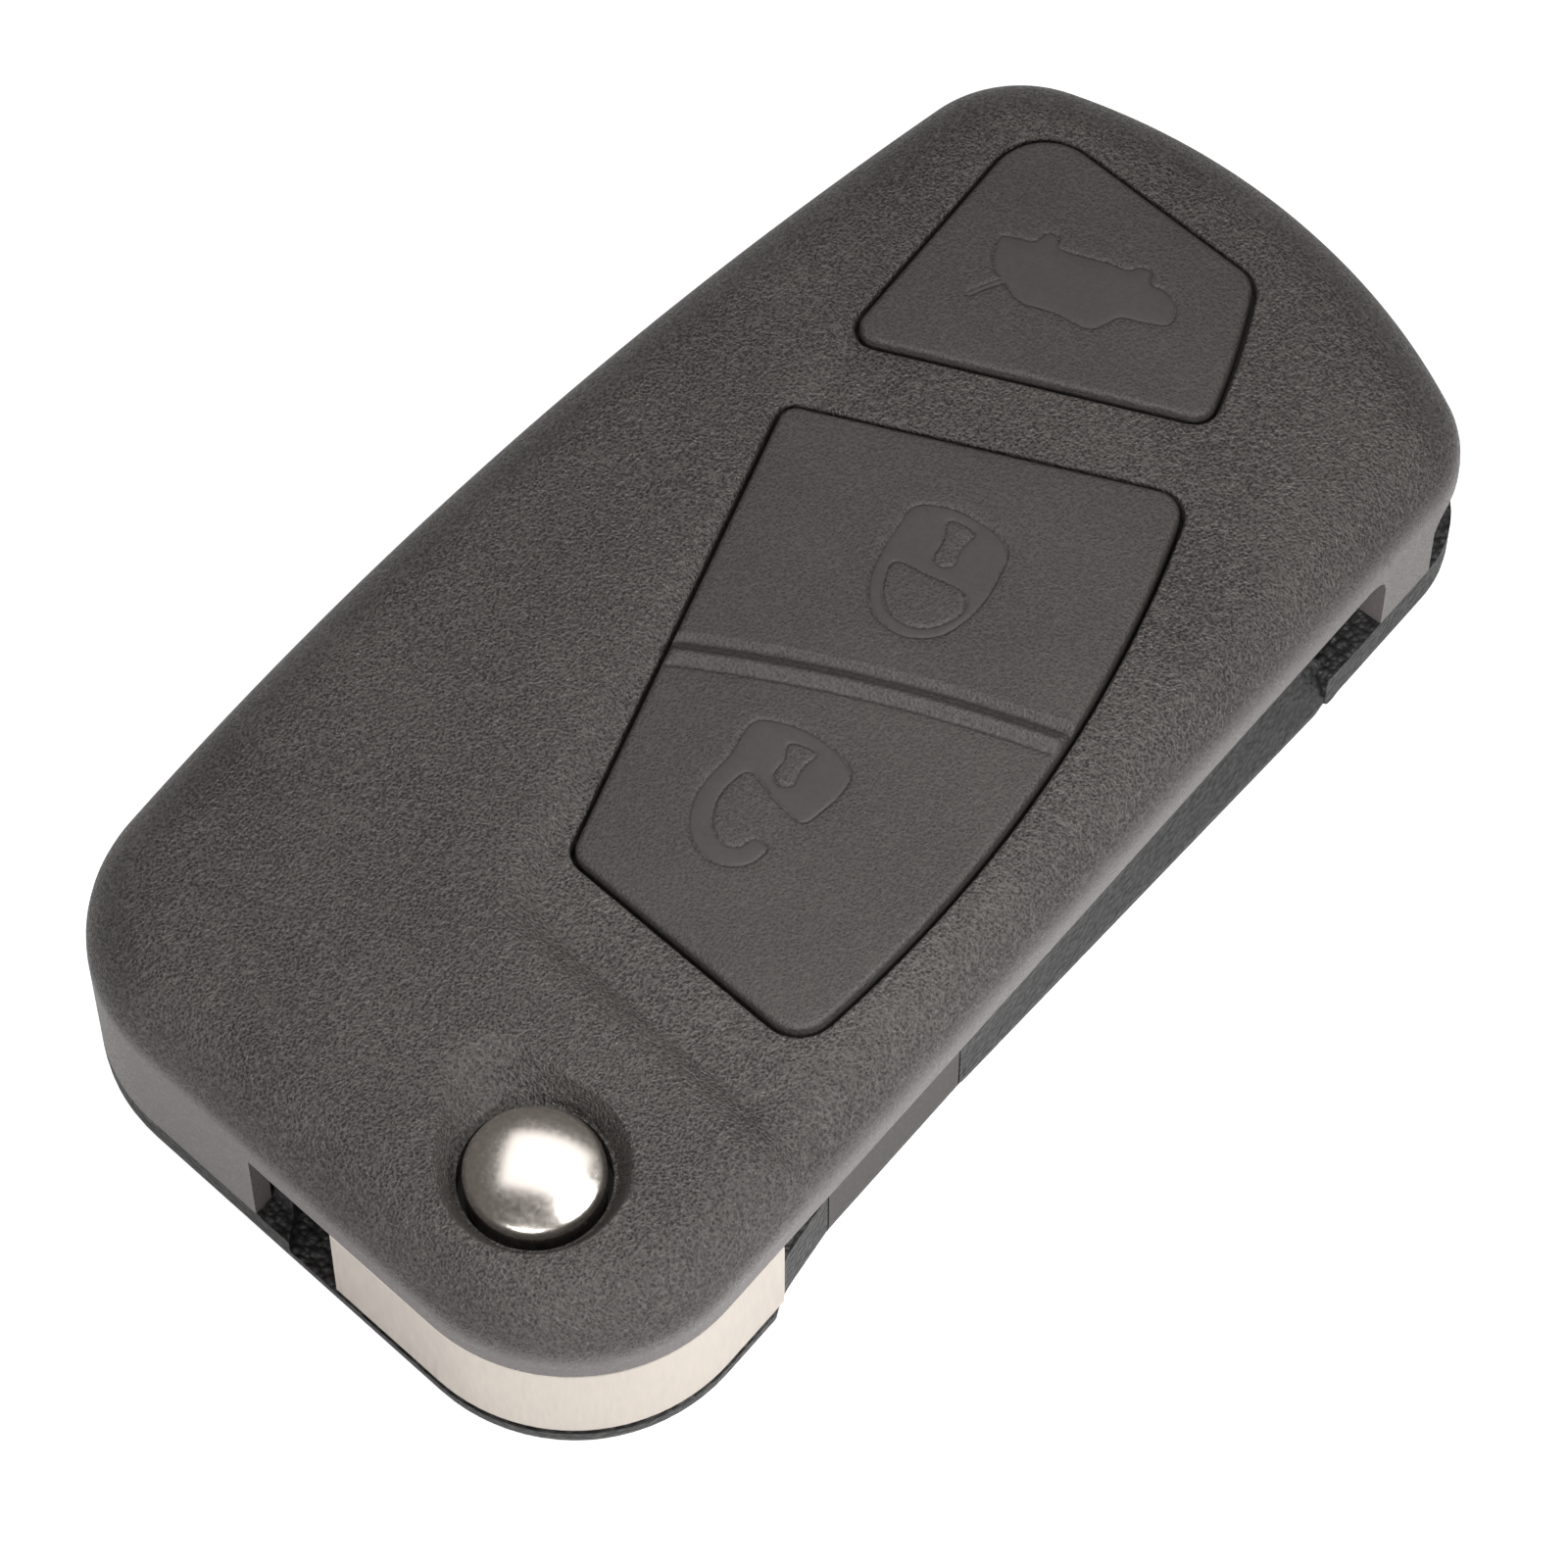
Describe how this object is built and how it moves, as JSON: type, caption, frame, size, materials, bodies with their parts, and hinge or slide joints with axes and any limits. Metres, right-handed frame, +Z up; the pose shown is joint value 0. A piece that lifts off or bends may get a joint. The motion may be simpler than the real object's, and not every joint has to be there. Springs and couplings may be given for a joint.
{
  "type": "flip key remote shell",
  "caption": "Empty flip-key remote case: a sprung pivoting hub folds the key blade into a side slot, with a domed release button, a boot button and a rocking lock pad.",
  "frame": {"origin": "on the resting face (the back of the case), under the middle of the case's outline", "axes": "+X towards the side where the blade folds away, +Y along the key from the hub to the key ring corner, +Z up out of the buttons"},
  "size_m": [0.0404, 0.0777, 0.0162],
  "materials": {
    "upper_case_plastic": "warm charcoal plastic with a fine spark-eroded grain",
    "lower_case_plastic": "near-black plastic with a coarse leather-like grain",
    "button_rubber": "dark soft-touch rubber-like pad, fine grain",
    "membrane_rubber": "dull silicone sheet",
    "seal_rubber": "dull rubber ring",
    "inner_plastic": "plain moulded plastic",
    "hub_satin_metal": "pale satin plated metal",
    "release_chrome": "bright polished dome",
    "blade_steel": "nickel-plated blank, finely brushed",
    "spring_steel": "drawn spring wire",
    "screw_steel": "zinc-plated"
  },
  "bodies": {
    "case": {"upper_shell": "upper_case_plastic", "lower_shell": "lower_case_plastic", "board_tray": "inner_plastic", "keypad_retainer": "inner_plastic", "keypad_membrane": "membrane_rubber", "spring_seat": "inner_plastic", "thrust_washer": "inner_plastic", "retainer_screw": "screw_steel", "case_screw_hub_end": "screw_steel", "case_screw_ring_end": "screw_steel"},
    "hub": {"blade_hub": "hub_satin_metal", "blade": "blade_steel", "blade_pin": "blade_steel", "hub_spring": "spring_steel"},
    "release": {"release_cap": "release_chrome", "release_plunger": "inner_plastic"},
    "boot": {"boot_button": "button_rubber"},
    "rocker": {"lock_rocker": "button_rubber"},
    "cover": {"battery_cover": "lower_case_plastic", "battery_cover_seal": "seal_rubber"}
  },
  "joints": [
    {"name": "hub_pivot", "type": "hinge", "parent": "case", "child": "hub", "pos_m": [0.0094, -0.0307, 0.0075], "axis": [0, 0, -1], "range_deg": [0, 180]},
    {"name": "release_press", "type": "slide", "parent": "hub", "child": "release", "axis": [0, 0, -1], "range_m": [0, 0.0016], "stiffness_N_per_m": 500, "springref_m": -0.004, "deforming": ["hub_spring"]},
    {"name": "boot_press", "type": "slide", "parent": "case", "child": "boot", "axis": [0, 0, -1], "range_m": [0, 0.0005], "stiffness_N_per_m": 1000, "springref_m": -0.0005},
    {"name": "lock_rock", "type": "hinge", "parent": "case", "child": "rocker", "pos_m": [0.00525, -0.00005, 0.01185], "axis": [0.91, 0.4145, 0], "range_deg": [-1.5, 1.5], "stiffness_Nm_per_rad": 0.2},
    {"name": "cover_swing", "type": "hinge", "parent": "case", "child": "cover", "pos_m": [-0.0161, -0.0095, 0], "axis": [0, 1, 0], "range_deg": [0, 20]}
  ]
}
